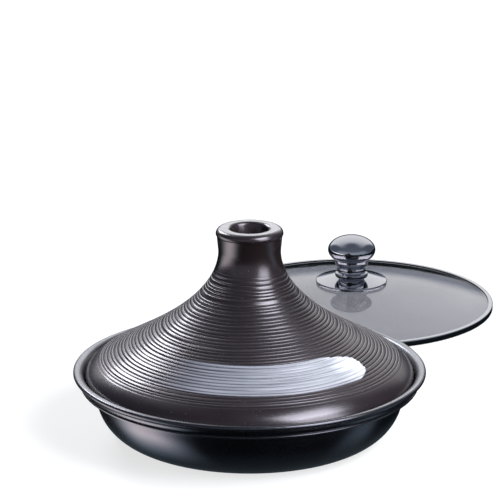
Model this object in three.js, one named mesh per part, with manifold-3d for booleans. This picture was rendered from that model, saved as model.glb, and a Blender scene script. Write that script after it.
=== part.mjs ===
// A tagine: a coated cast pot, a turned stoneware cone lid that sits in the pot's flared rim,
// and a spare domed glass lid with a steel knob that lies on the table behind the pot.
// Millimetres, +Z up. The origin is the centre of the pot's base, on the table.

import * as THREE from 'three';
import { mergeVertices } from 'three/addons/utils/BufferGeometryUtils.js';
import Module from 'manifold-3d';

// Pot
const SEAT_RADIUS = 120; // outer edge of the ledge that carries a lid
const SEAT_HEIGHT = 43; // table to the top of the ledge
const LEDGE_WIDTH = 9.5;
const FLARE_REACH = 5.4; // how far the rim leans out above the ledge
const FLARE_HEIGHT = 8.2;
const LIP_WIDTH = 4.6;
const LIP_ROUNDING = 1.3;
const POT_WALL = 3;
const POT_FLOOR = 3.5;
const BOWL_TURN = 33.5; // radius with which the wall turns up out of the base

// Cone lid
const CONE_HEIGHT = 114.7; // foot to the top of the chimney
const CONE_WALL = 5;
const CONE_SIDE_GAP = 1.1; // between the widest part of the cone and the flared rim
const WIDEST_RISE = 3.3; // foot to the widest part of the cone
const FOOT_INSET = 2; // ledge's outer edge to the foot
const FOOT_WIDTH = 5.5;
const SHOULDER_WIDTH = 12.3; // widest part to where the straight slope begins
const SHOULDER_RISE = 16.9; // foot to where the straight slope begins
const SHOULDER_PULL = 6.5;
const SLOPE_ANGLE = THREE.MathUtils.degToRad(30);
const SLOPE_PULL = 24.7;
const NECK_RADIUS = 22.9;
const NECK_DROP = 17; // chimney top to the narrowest part of the neck
const NECK_PULL = 39.2;
const RING_RADIUS = 24.7; // outside of the chimney's rolled edge
const RING_DROP = 4.5;
const CREST_RADIUS = 19;
const CUP_RADIUS = 14.6; // blind hollow in the chimney
const CUP_DEPTH = 26;

// Glass lid
const LID_SPACING = 72; // clear table between the pot's rim and the glass lid
const LID_DIRECTION = THREE.MathUtils.degToRad(74.5);
const BAND_PLAY = 0.6; // lets the banded edge drop onto the pot's ledge
const BAND_SHEET = 0.5;
const BAND_GRIP = 3.2; // how far the steel band reaches over the glass
const GLASS_THICKNESS = 3.4;
const GLASS_RISE = 17;
const SCREW_RADIUS = 2.5;
const SCREW_BITE = 9; // length of the screw in the knob
const SCREW_HEAD_RADIUS = 4.6;
const SCREW_HEAD_HEIGHT = 2.8;
const SCREW_PLAY = 1.2; // glass hole around the screw
const WASHER_RADIUS = 8.5;
const WASHER_THICKNESS = 1.2;
const LOWER_GASKET_THICKNESS = 1.5;
const LOWER_GASKET_RADIUS = 10.5;
const UPPER_GASKET_RADIUS = 14;
const PLATE_RADIUS = 30;
const PLATE_SHEET = 0.9;
const PLATE_CROWN = 4.5; // rise of the plate from its edge to its middle
const PLATE_SKIRT = 1.2; // edge turned down towards the glass
const PLATE_LIFT = 0.5; // plate's edge above the glass
const KNOB_RADIUS = 20;
const KNOB_HALF_HEIGHT = 12;
const KNOB_NECK_RADIUS = 11.8;
const KNOB_COLLAR_RADIUS = 14;
const KNOB_NECK_HEIGHT = 9.5;
const KNOB_SHEET = 1;
const VENT_RADIUS = 77.4; // lid's centre to the steam vent
const VENT_ANGLE = THREE.MathUtils.degToRad(220);
const EYELET_FLANGE_RADIUS = 5;
const EYELET_BARREL_RADIUS = 3.2;
const EYELET_BORE_RADIUS = 2;
const EYELET_SHEET = 0.7;

// Fits
const GAP = 0.3; // between two pieces that touch
const ROUND_STEPS = 48;
const SMALL_ROUND_STEPS = 24;
const CURVE_STEPS = 4;

const wasm = await Module();
wasm.setup();

function finish(color, roughness, metalness, opacity = 1) {
  return new THREE.MeshStandardMaterial({ color, roughness, metalness, opacity, transparent: opacity < 1 });
}

const coatedAluminium = finish('#16171a', 0.38, 0.2);
const ironGlaze = finish('#2a2325', 0.45, 0.05);
const temperedGlass = finish('#a9b0b8', 0.05, 0, 0.35);
const polishedSteel = finish('#c6c9cd', 0.12, 1);
const plainSteel = finish('#a7abb0', 0.35, 1);
const silicone = finish('#34353a', 0.7, 0);

function point(radius, height) {
  return new THREE.Vector2(radius, height);
}

// Turns a profile of radius and height round the Z axis. The profile runs outwards, up and back.
function turn(points, steps) {
  return new THREE.LatheGeometry(points, steps).rotateX(Math.PI / 2);
}

// A ring's profile ends where it began.
function turnRing(points, steps) {
  return turn([...points, points[0].clone()], steps);
}

function solidOf(geometry) {
  const bare = geometry.clone();
  bare.deleteAttribute('normal');
  bare.deleteAttribute('uv');
  const merged = mergeVertices(bare, 1e-4);
  const vertProperties = new Float32Array(merged.attributes.position.array);
  const triVerts = new Uint32Array(merged.index.array);
  return new wasm.Manifold(new wasm.Mesh({ numProp: 3, vertProperties, triVerts }));
}

function geometryOf(solid) {
  const mesh = solid.getMesh();
  const geometry = new THREE.BufferGeometry();
  geometry.setAttribute('position', new THREE.BufferAttribute(mesh.vertProperties, 3));
  geometry.setIndex(new THREE.BufferAttribute(mesh.triVerts, 1));
  geometry.computeVertexNormals();
  return geometry;
}

function piece(name, geometry, material) {
  const mesh = new THREE.Mesh(geometry, material);
  mesh.name = name;
  return mesh;
}

// Pot: flat base, wall turned up in an arc, a ledge for the lid, and a flared rim with a flat lip.
const rimRadius = SEAT_RADIUS + FLARE_REACH + LIP_WIDTH;

function makePot() {
  const bowlInside = SEAT_RADIUS - LEDGE_WIDTH;
  const bowlOutside = bowlInside + POT_WALL;
  const baseRadius = bowlOutside - BOWL_TURN;
  const ledgeUnderside = SEAT_HEIGHT - POT_WALL;
  const lipTop = SEAT_HEIGHT + FLARE_HEIGHT;
  const profile = new THREE.Path();
  profile.moveTo(0, 0);
  profile.lineTo(baseRadius, 0);
  profile.absarc(baseRadius, BOWL_TURN, BOWL_TURN, -Math.PI / 2, 0, false);
  profile.lineTo(bowlOutside, ledgeUnderside);
  profile.lineTo(SEAT_RADIUS + POT_WALL, ledgeUnderside);
  profile.lineTo(rimRadius, lipTop - LIP_ROUNDING);
  profile.lineTo(rimRadius - LIP_ROUNDING, lipTop);
  profile.lineTo(SEAT_RADIUS + FLARE_REACH, lipTop);
  profile.lineTo(SEAT_RADIUS, SEAT_HEIGHT);
  profile.lineTo(bowlInside, SEAT_HEIGHT);
  profile.lineTo(bowlInside, BOWL_TURN);
  profile.absellipse(baseRadius, BOWL_TURN, BOWL_TURN - POT_WALL, BOWL_TURN - POT_FLOOR, 0, -Math.PI / 2, true);
  profile.lineTo(0, POT_FLOOR);
  return piece('pot', turn(profile.getPoints(CURVE_STEPS), ROUND_STEPS), coatedAluminium);
}

// Cone lid: hollow from below up to the chimney, whose top is a blind cup with a rolled edge.
function makeConeLid() {
  const foot = SEAT_HEIGHT + GAP;
  const top = foot + CONE_HEIGHT;
  const widest = SEAT_RADIUS + (FLARE_REACH * (WIDEST_RISE + GAP)) / FLARE_HEIGHT - CONE_SIDE_GAP;
  const footRadius = SEAT_RADIUS - FOOT_INSET;
  const footInside = footRadius - FOOT_WIDTH;
  const slopeEnd = point(widest - SHOULDER_WIDTH, foot + SHOULDER_RISE);
  const slopeWay = point(Math.cos(SLOPE_ANGLE), -Math.sin(SLOPE_ANGLE));
  const neck = point(NECK_RADIUS, top - NECK_DROP);

  const shoulder = new THREE.CubicBezierCurve(
    point(widest, foot + WIDEST_RISE),
    point(widest, foot + WIDEST_RISE + SHOULDER_PULL),
    slopeEnd.clone().addScaledVector(slopeWay, SHOULDER_PULL),
    slopeEnd,
  );
  const slope = new THREE.CubicBezierCurve(
    slopeEnd,
    slopeEnd.clone().addScaledVector(slopeWay, -SLOPE_PULL),
    point(neck.x, neck.y - NECK_PULL),
    neck,
  );

  // The underside follows the outside at the wall's thickness, from the foot up to below the cup.
  const cavityTop = top - CUP_DEPTH - CONE_WALL;
  const underside = [point(footInside, foot)];
  for (const curve of [shoulder, slope]) {
    const steps = 2 * CURVE_STEPS;
    for (let step = 1; step <= steps; step += 1) {
      const outside = curve.getPoint(step / steps);
      const along = curve.getTangent(step / steps);
      const inside = point(outside.x - along.y * CONE_WALL, outside.y + along.x * CONE_WALL);
      if (inside.x < footInside && inside.y > foot + WIDEST_RISE && inside.y < cavityTop) {
        underside.push(inside);
      }
    }
  }
  const lastInside = underside[underside.length - 1];

  const chimney = new THREE.Path();
  chimney.moveTo(neck.x, neck.y);
  chimney.quadraticCurveTo(NECK_RADIUS, top - NECK_DROP / 2, RING_RADIUS, top - RING_DROP);
  chimney.quadraticCurveTo(RING_RADIUS, top, CREST_RADIUS, top);
  chimney.quadraticCurveTo(CUP_RADIUS, top, CUP_RADIUS, top - RING_DROP);
  chimney.lineTo(CUP_RADIUS, top - CUP_DEPTH / 2);
  chimney.quadraticCurveTo(CUP_RADIUS, top - CUP_DEPTH, 0, top - CUP_DEPTH);

  const profile = [
    point(0, cavityTop),
    point(lastInside.x, cavityTop),
    ...underside.reverse(),
    point(footRadius, foot),
    ...shoulder.getPoints(CURVE_STEPS),
    ...slope.getPoints(3 * CURVE_STEPS).slice(1),
    ...chimney.getPoints(CURVE_STEPS).slice(1),
  ];
  return piece('cone_lid', turn(profile, ROUND_STEPS), ironGlaze);
}

// Glass lid: a tempered dome in a steel band, with a steam vent and a screwed-on knob.
const bandRadius = SEAT_RADIUS - BAND_PLAY;
const glassRadius = bandRadius - BAND_SHEET - GAP;
const glassUnderside = BAND_SHEET + GAP;
const domeRadius = glassRadius - BAND_GRIP;
const domeCurvature = (domeRadius ** 2 + GLASS_RISE ** 2) / (2 * GLASS_RISE);
const glassMiddle = glassUnderside + GLASS_RISE; // underside of the glass at the screw
const glassTop = glassMiddle + GLASS_THICKNESS;

function domeDrop(radius) {
  return domeCurvature - Math.sqrt(domeCurvature ** 2 - radius ** 2);
}

// The plate's edge stands just off the glass, and the upper gasket fills the space under its crown.
const plateEdge = glassTop - domeDrop(PLATE_RADIUS) + PLATE_LIFT;
const plateSeat = plateEdge + PLATE_SKIRT + PLATE_CROWN;
const upperGasketUnderside = glassTop + GAP;
const upperGasketThickness = plateSeat - GAP - upperGasketUnderside;
const knobSeat = plateSeat + PLATE_SHEET + GAP;
const screwHole = SCREW_RADIUS + GAP; // hole of the washers, plate and knob insert

function domeTilt(radius) {
  return Math.asin(radius / domeCurvature);
}

function makeGlassPanel(ventHole) {
  const screwClear = SCREW_RADIUS + SCREW_PLAY;
  const rings = 2 * CURVE_STEPS;
  const radii = [];
  for (let ring = 0; ring <= rings; ring += 1) {
    radii.push(THREE.MathUtils.lerp(screwClear, domeRadius, ring / rings));
  }
  const underside = radii.map((radius) => point(radius, glassMiddle - domeDrop(radius)));
  const topside = radii.map((radius) => point(radius, glassTop - domeDrop(radius))).reverse();
  const profile = [
    ...underside,
    point(glassRadius, glassUnderside),
    point(glassRadius, glassUnderside + GLASS_THICKNESS),
    ...topside,
  ];
  const dome = solidOf(turnRing(profile, ROUND_STEPS));
  return piece('glass_panel', geometryOf(dome.subtract(solidOf(ventHole))), temperedGlass);
}

function makeRimBand() {
  const grip = glassRadius - BAND_GRIP + GAP;
  const topInside = glassUnderside + GLASS_THICKNESS + GAP;
  const hold = bandRadius - BAND_SHEET;
  const profile = [
    point(grip, 0),
    point(bandRadius - BAND_SHEET, 0),
    point(bandRadius, BAND_SHEET),
    point(bandRadius, topInside),
    point(bandRadius - BAND_SHEET, topInside + BAND_SHEET),
    point(grip, topInside + BAND_SHEET),
    point(grip, topInside),
    point(hold, topInside),
    point(hold, BAND_SHEET),
    point(grip, BAND_SHEET),
  ];
  return piece('rim_band', turnRing(profile, ROUND_STEPS), polishedSteel);
}

// The eyelet stands square to the glass, with one flange above it and one rolled out below.
const ventPlace = new THREE.Matrix4()
  .makeRotationZ(VENT_ANGLE)
  .multiply(new THREE.Matrix4().makeTranslation(VENT_RADIUS, 0, glassTop - domeDrop(VENT_RADIUS)))
  .multiply(new THREE.Matrix4().makeRotationY(domeTilt(VENT_RADIUS)));

function makeVentHole() {
  const radius = EYELET_BARREL_RADIUS + GAP;
  const length = 4 * GLASS_THICKNESS;
  const drill = new THREE.CylinderGeometry(radius, radius, length, SMALL_ROUND_STEPS);
  return drill.rotateX(Math.PI / 2).applyMatrix4(ventPlace);
}

function makeVentEyelet() {
  const below = -GLASS_THICKNESS - GAP;
  const profile = [
    point(EYELET_BORE_RADIUS, below - EYELET_SHEET),
    point(EYELET_FLANGE_RADIUS, below - EYELET_SHEET),
    point(EYELET_FLANGE_RADIUS, below),
    point(EYELET_BARREL_RADIUS, below),
    point(EYELET_BARREL_RADIUS, GAP),
    point(EYELET_FLANGE_RADIUS, GAP),
    point(EYELET_FLANGE_RADIUS - EYELET_SHEET, GAP + EYELET_SHEET),
    point(EYELET_BORE_RADIUS, GAP + EYELET_SHEET),
  ];
  const eyelet = turnRing(profile, SMALL_ROUND_STEPS).applyMatrix4(ventPlace);
  return piece('vent_eyelet', eyelet, polishedSteel);
}

function makeWasher(name, radius, thickness, underside, material) {
  const profile = [
    point(screwHole, underside),
    point(radius, underside),
    point(radius, underside + thickness),
    point(screwHole, underside + thickness),
  ];
  return piece(name, turnRing(profile, SMALL_ROUND_STEPS), material);
}

// Knob plate: a crowned steel disc whose edge is turned down, flat where the knob stands on it.
function makeKnobPlate() {
  const flat = KNOB_COLLAR_RADIUS;
  const skirtTop = plateEdge + PLATE_SKIRT;
  const profile = [
    point(screwHole, plateSeat),
    point(flat, plateSeat),
    point(PLATE_RADIUS - PLATE_SHEET, skirtTop),
    point(PLATE_RADIUS - PLATE_SHEET, plateEdge),
    point(PLATE_RADIUS, plateEdge),
    point(PLATE_RADIUS, skirtTop),
    point(PLATE_RADIUS - PLATE_SHEET, skirtTop + PLATE_SHEET),
    point(flat, plateSeat + PLATE_SHEET),
    point(screwHole, plateSeat + PLATE_SHEET),
  ];
  return piece('knob_plate', turnRing(profile, SMALL_ROUND_STEPS), polishedSteel);
}

// Knob: a spun steel shell, a flattened ball on a waisted neck, open below for the threaded insert.
const insertRadius = KNOB_NECK_RADIUS - KNOB_SHEET - GAP;

function makeKnobBall() {
  const middle = knobSeat + KNOB_NECK_HEIGHT + KNOB_HALF_HEIGHT;
  const neckInside = insertRadius + GAP;
  const collarTop = knobSeat + KNOB_NECK_HEIGHT;
  const insideRadius = KNOB_RADIUS - KNOB_SHEET;
  const insideHalf = KNOB_HALF_HEIGHT - KNOB_SHEET;
  const insideStart = -Math.acos(neckInside / insideRadius);
  const outsideStart = -Math.acos(KNOB_COLLAR_RADIUS / KNOB_RADIUS);
  const profile = new THREE.Path();
  profile.moveTo(0, middle + insideHalf);
  profile.absellipse(0, middle, insideRadius, insideHalf, Math.PI / 2, insideStart, true);
  profile.lineTo(neckInside, knobSeat);
  profile.lineTo(KNOB_COLLAR_RADIUS, knobSeat);
  profile.quadraticCurveTo(KNOB_NECK_RADIUS, knobSeat, KNOB_NECK_RADIUS, (knobSeat + collarTop) / 2);
  profile.quadraticCurveTo(KNOB_NECK_RADIUS, collarTop, KNOB_COLLAR_RADIUS, collarTop);
  profile.absellipse(0, middle, KNOB_RADIUS, KNOB_HALF_HEIGHT, outsideStart, Math.PI / 2, false);
  return piece('knob_ball', turn(profile.getPoints(CURVE_STEPS), SMALL_ROUND_STEPS), polishedSteel);
}

function makeKnobInsert() {
  const top = knobSeat + SCREW_BITE + GAP;
  const profile = [
    point(screwHole, knobSeat),
    point(insertRadius, knobSeat),
    point(insertRadius, top),
    point(screwHole, top),
  ];
  return piece('knob_insert', turnRing(profile, SMALL_ROUND_STEPS), plainSteel);
}

const lowerGasketUnderside = glassMiddle - GAP - LOWER_GASKET_THICKNESS;
const washerUnderside = lowerGasketUnderside - GAP - WASHER_THICKNESS;

function makeKnobScrew() {
  const headTop = washerUnderside - GAP;
  const headBottom = headTop - SCREW_HEAD_HEIGHT;
  const profile = new THREE.Path();
  profile.moveTo(0, headBottom);
  profile.quadraticCurveTo(SCREW_HEAD_RADIUS, headBottom, SCREW_HEAD_RADIUS, headTop);
  profile.lineTo(SCREW_RADIUS, headTop);
  profile.lineTo(SCREW_RADIUS, knobSeat + SCREW_BITE);
  profile.lineTo(0, knobSeat + SCREW_BITE);
  return piece('knob_screw', turn(profile.getPoints(CURVE_STEPS), SMALL_ROUND_STEPS), plainSteel);
}

const lidDistance = rimRadius + LID_SPACING + bandRadius;
const glassLid = new THREE.Group();
glassLid.position.set(lidDistance * Math.cos(LID_DIRECTION), lidDistance * Math.sin(LID_DIRECTION), 0);
glassLid.add(
  makeGlassPanel(makeVentHole()),
  makeRimBand(),
  makeVentEyelet(),
  makeWasher('lower_gasket', LOWER_GASKET_RADIUS, LOWER_GASKET_THICKNESS, lowerGasketUnderside, silicone),
  makeWasher('upper_gasket', UPPER_GASKET_RADIUS, upperGasketThickness, upperGasketUnderside, silicone),
  makeWasher('screw_washer', WASHER_RADIUS, WASHER_THICKNESS, washerUnderside, plainSteel),
  makeKnobPlate(),
  makeKnobBall(),
  makeKnobInsert(),
  makeKnobScrew(),
);

const tagine = new THREE.Group();
tagine.add(makePot(), makeConeLid(), glassLid);

export default tagine;
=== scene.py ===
# The looks of a tagine set: a coated cast pot, a turned stoneware cone lid with one brushed stroke of
# white slip, and a spare domed glass lid with a steel knob. Metres, +Z up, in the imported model's frame.

import math

import bmesh
import bpy
from mathutils import Matrix, Vector


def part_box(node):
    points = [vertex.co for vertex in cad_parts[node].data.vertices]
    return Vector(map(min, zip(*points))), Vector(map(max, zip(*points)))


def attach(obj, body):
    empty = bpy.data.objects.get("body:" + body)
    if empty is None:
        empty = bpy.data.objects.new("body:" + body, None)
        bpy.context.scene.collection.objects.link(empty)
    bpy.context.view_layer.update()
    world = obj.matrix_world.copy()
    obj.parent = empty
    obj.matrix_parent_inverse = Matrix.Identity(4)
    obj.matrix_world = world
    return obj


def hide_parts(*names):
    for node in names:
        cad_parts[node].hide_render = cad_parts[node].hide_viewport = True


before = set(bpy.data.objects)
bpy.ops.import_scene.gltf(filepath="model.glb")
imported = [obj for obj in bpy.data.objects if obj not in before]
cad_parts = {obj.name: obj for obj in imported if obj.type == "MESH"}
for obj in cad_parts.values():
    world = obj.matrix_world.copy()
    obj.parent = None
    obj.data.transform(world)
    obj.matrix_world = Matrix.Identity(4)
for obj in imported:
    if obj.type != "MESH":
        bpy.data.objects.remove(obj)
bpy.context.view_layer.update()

# Pot
# A shallow pot, cast in aluminium and machined: flat base, wall turned up in one arc, a ledge that
# carries a lid, and a rim that flares out over a narrow bead to a rolled lip. A black non-stick coat is
# sprayed all over.

MM = 0.001
FILLET_ANGLE = math.radians(12)
FILLET_CHORD = 1.5 * MM
ON_AXIS = 1e-7
SHARP_ANGLE = math.radians(35)


def rounded(corners, closed=False):
    """The outline through corners of (radius, height, fillet) in millimetres, as points in metres."""
    outline = []
    for place, (radius, height, fillet) in enumerate(corners):
        corner = Vector((radius, height)) * MM
        at_end = not closed and place in (0, len(corners) - 1)
        if at_end or fillet == 0:
            outline.append(corner)
            continue
        before = (Vector(corners[place - 1][:2]) * MM - corner).normalized()
        after = (Vector(corners[(place + 1) % len(corners)][:2]) * MM - corner).normalized()
        half = before.angle(after) / 2
        middle = corner + (before + after).normalized() * fillet * MM / math.sin(half)
        start = corner + before * fillet * MM / math.tan(half) - middle
        sweep = math.pi - 2 * half
        steps = max(2, math.ceil(sweep / FILLET_ANGLE), math.ceil(sweep * fillet * MM / FILLET_CHORD))
        way = 1 if before.cross(after) < 0 else -1
        for step in range(steps + 1):
            outline.append(middle + Matrix.Rotation(way * sweep * step / steps, 2) @ start)
    return outline


def placed(name, data):
    """A new object in the scene."""
    thing = bpy.data.objects.new(name, data)
    bpy.context.scene.collection.objects.link(thing)
    return thing


def turned(name, outline, steps, closed=False, centre=(0, 0)):
    """A body turned round a vertical axis. Its outline runs outwards, then up, then back inwards."""
    shape = bmesh.new()
    rings = []
    for radius, height in outline:
        count = 1 if radius < ON_AXIS else steps
        ring = []
        for step in range(count):
            angle = 2 * math.pi * step / steps
            place = (centre[0] + radius * math.cos(angle), centre[1] + radius * math.sin(angle), height)
            ring.append(shape.verts.new(place))
        rings.append(ring)
    following = rings[1:] + (rings[:1] if closed else [])
    for low, high in zip(rings, following):
        for step in range(steps):
            beside = (step + 1) % steps
            corners = [low[step % len(low)], low[beside % len(low)]]
            corners += [high[beside % len(high)], high[step % len(high)]]
            corners = list(dict.fromkeys(corners))
            if len(corners) > 2:
                shape.faces.new(corners)
    mesh = bpy.data.meshes.new(name)
    shape.to_mesh(mesh)
    shape.free()
    mesh.shade_smooth()
    mesh.set_sharp_from_angle(angle=SHARP_ANGLE)
    return placed(name, mesh)


def colour(code):
    """The linear colour of an sRGB hex value."""
    shares = [int(code[place:place + 2], 16) / 255 for place in (0, 2, 4)]
    linear = [c / 12.92 if c <= 0.04045 else ((c + 0.055) / 1.055) ** 2.4 for c in shares]
    return (*linear, 1)


def add(tree, kind, inputs=None, **settings):
    """Adds a node, sets its properties, and feeds each named input with a value or an output."""
    node = tree.nodes.new(kind)
    for name, value in settings.items():
        setattr(node, name, value)
    for name, value in (inputs or {}).items():
        if isinstance(value, bpy.types.NodeSocket):
            tree.links.new(value, node.inputs[name])
        else:
            node.inputs[name].default_value = value
    return node


def new_material(name):
    """A material with its node tree, its shader and its Object coordinates."""
    material = bpy.data.materials.new(name)
    material.use_nodes = True
    tree = material.node_tree
    shader = tree.nodes["Principled BSDF"]
    place = add(tree, "ShaderNodeTexCoord").outputs["Object"]
    return material, tree, shader, place


def drifting(tree, shader, place, size, detail, tones, roughness):
    """Drifts between two tones and between two values of roughness, over clouds of that size."""
    cloud = add(tree, "ShaderNodeTexNoise", {"Vector": place, "Scale": 1 / size, "Detail": detail})
    tone = add(tree, "ShaderNodeMix", {
        "Factor": cloud.outputs["Fac"],
        "A": colour(tones[0]),
        "B": colour(tones[1]),
    }, data_type="RGBA").outputs["Result"]
    sheen = add(tree, "ShaderNodeMapRange", {
        "Value": cloud.outputs["Fac"],
        "To Min": roughness[0],
        "To Max": roughness[1],
    }).outputs["Result"]
    tree.links.new(tone, shader.inputs["Base Color"])
    tree.links.new(sheen, shader.inputs["Roughness"])
    return tone, sheen


def dress(piece, material, body, node):
    """The piece wears the material, moves with the body and stands for the CAD node."""
    piece.data.materials.append(material)
    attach(piece, body)
    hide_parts(node)


ROUND_STEPS = 192
POT_WALL = 3
POT_FLOOR = 3.5
LEDGE_WIDTH = 9.5
LEDGE_HEIGHT = 43
LEDGE_EDGE = 120
LEDGE_ROUNDING = 1.4
LIP_WIDTH = 5.6
LIP_DEPTH = 2.6
LIP_ROUNDING = 2
LIP_INSIDE_ROUNDING = 4.5
LIP_UNDER_ROUNDING = 0.7
FLARE_SCOOP = 1.1
FLARE_ROUNDING = 4
BOWL_TURN = 33.5
BEAD_RISE = 2
BEAD_REACH = 2
BEAD_ROUNDING = 0.9
CREASE_REACH = 0.9
CREASE_ROUNDING = 0.15

pot_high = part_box("pot")[1]
rim = pot_high.x / MM
lip_top = pot_high.z / MM
well = LEDGE_EDGE - LEDGE_WIDTH
flare_foot = Vector((LEDGE_EDGE + POT_WALL, LEDGE_HEIGHT - POT_WALL))
flare_head = Vector((rim, lip_top - LIP_DEPTH))
flare_middle = (flare_foot + flare_head) / 2 + Vector((-FLARE_SCOOP, FLARE_SCOOP))
pot_outline = rounded([
    (0, 0, 0),
    (well + POT_WALL, 0, BOWL_TURN),
    (well + POT_WALL, LEDGE_HEIGHT - POT_WALL, LEDGE_ROUNDING),
    (flare_foot.x + BEAD_REACH, flare_foot.y, BEAD_ROUNDING),
    (flare_foot.x + BEAD_REACH, flare_foot.y + BEAD_RISE, BEAD_ROUNDING),
    (flare_foot.x + CREASE_REACH, flare_foot.y + BEAD_RISE, CREASE_ROUNDING),
    (flare_middle.x, flare_middle.y, FLARE_ROUNDING),
    (flare_head.x, flare_head.y, LIP_UNDER_ROUNDING),
    (rim, lip_top, LIP_ROUNDING),
    (rim - LIP_WIDTH, lip_top, LIP_INSIDE_ROUNDING),
    (LEDGE_EDGE, LEDGE_HEIGHT, LEDGE_ROUNDING),
    (well, LEDGE_HEIGHT, LEDGE_ROUNDING),
    (well, POT_FLOOR, BOWL_TURN - POT_WALL),
    (0, POT_FLOOR, 0),
])
pot_body = turned("pot_body", pot_outline, ROUND_STEPS)

# Sprayed and cured non-stick coat on cast aluminium: near black with a blue cast, satin, with the fine
# pebble of a sprayed film and slow changes of sheen where it lies thicker. The pebble is drawn coarser than
# it is, so that it shows.
COAT_PEBBLE = 0.9 * MM
PEBBLE_HEIGHT = 0.02 * MM
COAT_CLOUD = 22 * MM

coat, tree, shader, place = new_material("nonstick_coated_aluminium")
drifting(tree, shader, place, COAT_CLOUD, detail=3, tones=("040507", "090b0e"), roughness=(0.23, 0.32))
pebble = add(tree, "ShaderNodeTexNoise", {"Vector": place, "Scale": 1 / COAT_PEBBLE, "Detail": 2})
relief = add(tree, "ShaderNodeBump", {
    "Height": pebble.outputs["Fac"],
    "Distance": PEBBLE_HEIGHT,
    "Strength": 0.25,
})
tree.links.new(relief.outputs["Normal"], shader.inputs["Normal"])
shader.inputs["IOR"].default_value = 1.75
shader.inputs["Specular Tint"].default_value = colour("e9e6f8")

dress(pot_body, coat, "pot", "pot")

# Cone lid
# A hollow stoneware cone, thrown on the wheel: a round shoulder that drops into the rim, a slope that the
# turning tool has cut into close rings, and a chimney with a rolled edge round a blind cup.

CONE_WALL = 5
WIDEST_RISE = 2.6
FOOT_RADIUS = 118
FOOT_WIDTH = 5.5
FOOT_ROUNDING = 1.2
SHOULDER_WIDTH = 12.3
SHOULDER_RISE = 16.9
SHOULDER_PULL = 5.6
SLOPE_ANGLE = math.radians(30)
SLOPE_PULL = 24.7
NECK_RADIUS = 22.9
NECK_DROP = 17
NECK_PULL = 39.2
COLLAR_RADIUS = 24
COLLAR_DROP = 5.7
RING_RADIUS = 24.7
RING_UNDERCUT = 0.9
RING_CREASE = 0.5
RING_ROUNDING = 4
CUP_RADIUS = 14.2
CUP_ROUNDING = 2.8
CUP_FLOOR_RADIUS = 10
CUP_FLOOR_ROUNDING = 6
CUP_DEPTH = 26
CONE_STEPS = 128
RIDGE_PITCH = 2.9
RIDGE_DEPTH = 0.42
GROOVE_WIDTH = 0.13
FACE_CROWN = 0.18
RIDGES_FROM = -6
RIDGES_TO = 111
RIDGES_FADE = 8
RIDGE_WANDER = 0.8
RIDGE_SEED = 3.0
LIGHT_CUT = 0.4
HEAVY_CUT = 1.6
WELD = 0.002
SLOPE_LENGTH = 125
ROWS_PER_RIDGE = 14
SHOULDER_ROWS = 56
SHOULDER_ROWS_INSIDE = 16
SLOPE_ROWS_INSIDE = 36
HOLLOW_CORNER = 2


def bezier(start, pull_out, pull_in, end, share):
    """A point on a cubic curve."""
    rest = 1 - share
    bend = 3 * rest * rest * share * pull_out + 3 * rest * share * share * pull_in
    return rest ** 3 * start + bend + share ** 3 * end


cone_low, cone_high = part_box("cone_lid")
foot = cone_low.z / MM
crown = cone_high.z / MM
widest = Vector((cone_high.x / MM, foot + WIDEST_RISE))
slope_foot = Vector((widest.x - SHOULDER_WIDTH, foot + SHOULDER_RISE))
slope_way = Vector((math.cos(SLOPE_ANGLE), -math.sin(SLOPE_ANGLE)))
neck = Vector((NECK_RADIUS, crown - NECK_DROP))
shoulder = (widest, widest + Vector((0, SHOULDER_PULL)), slope_foot + slope_way * SHOULDER_PULL, slope_foot)
slope = (slope_foot, slope_foot - slope_way * SLOPE_PULL, neck - Vector((0, NECK_PULL)), neck)


def along(curve, steps):
    """Points on a curve, without its first one."""
    return [bezier(*curve, step / steps) for step in range(1, steps + 1)]


def inside(curve, steps):
    """Points at the wall's thickness inside a curve."""
    points = along(curve, steps)
    found = []
    for before, after in zip(points, points[1:]):
        way = (after - before).normalized()
        found.append((before + after) / 2 + Vector((-way.y, way.x)) * CONE_WALL)
    return found


cavity_top = crown - CUP_DEPTH - CONE_WALL
foot_inside = FOOT_RADIUS - FOOT_WIDTH
hollow = inside(shoulder, SHOULDER_ROWS_INSIDE) + inside(slope, SLOPE_ROWS_INSIDE)
hollow = [p for p in hollow if p.x < foot_inside and widest.y < p.y < cavity_top - HOLLOW_CORNER]
underside = [(0, cavity_top, 0), (hollow[-1].x, cavity_top, CONE_WALL)]
underside += [(p.x, p.y, 0) for p in reversed(hollow)]
underside += [(foot_inside, foot, FOOT_ROUNDING), (FOOT_RADIUS, foot, FOOT_ROUNDING)]
underside += [(widest.x, widest.y, 0)]
chimney = rounded([
    (neck.x, neck.y, 0),
    (COLLAR_RADIUS, crown - COLLAR_DROP, RING_CREASE),
    (RING_RADIUS, crown - COLLAR_DROP + RING_UNDERCUT, RING_CREASE),
    (RING_RADIUS, crown, RING_ROUNDING),
    (CUP_RADIUS, crown, CUP_ROUNDING),
    (CUP_FLOOR_RADIUS, crown - CUP_DEPTH, CUP_FLOOR_ROUNDING),
    (0, crown - CUP_DEPTH, 0),
])
slope_rows = round(ROWS_PER_RIDGE * SLOPE_LENGTH / RIDGE_PITCH)
profile = rounded(underside)
profile += [p * MM for p in along(shoulder, SHOULDER_ROWS)]
ridges_start = len(profile) - 1
profile += [p * MM for p in along(slope, slope_rows)]
profile += chimney[1:]

# The profile's points carry their length along the slope, counted from its foot.
lengths = [0.0]
for before, after in zip(profile, profile[1:]):
    lengths.append(lengths[-1] + (after - before).length)
profile_mesh = bpy.data.meshes.new("cone_profile")
edges = [(place, place + 1) for place in range(len(profile) - 1)]
profile_mesh.from_pydata([(p.x, 0, p.y) for p in profile], edges, [])
slope_length = profile_mesh.attributes.new("slope_length", "FLOAT", "POINT")
slope_length.data.foreach_set("value", [length - lengths[ridges_start] for length in lengths])
profile_piece = placed("cone_profile", profile_mesh)

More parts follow.
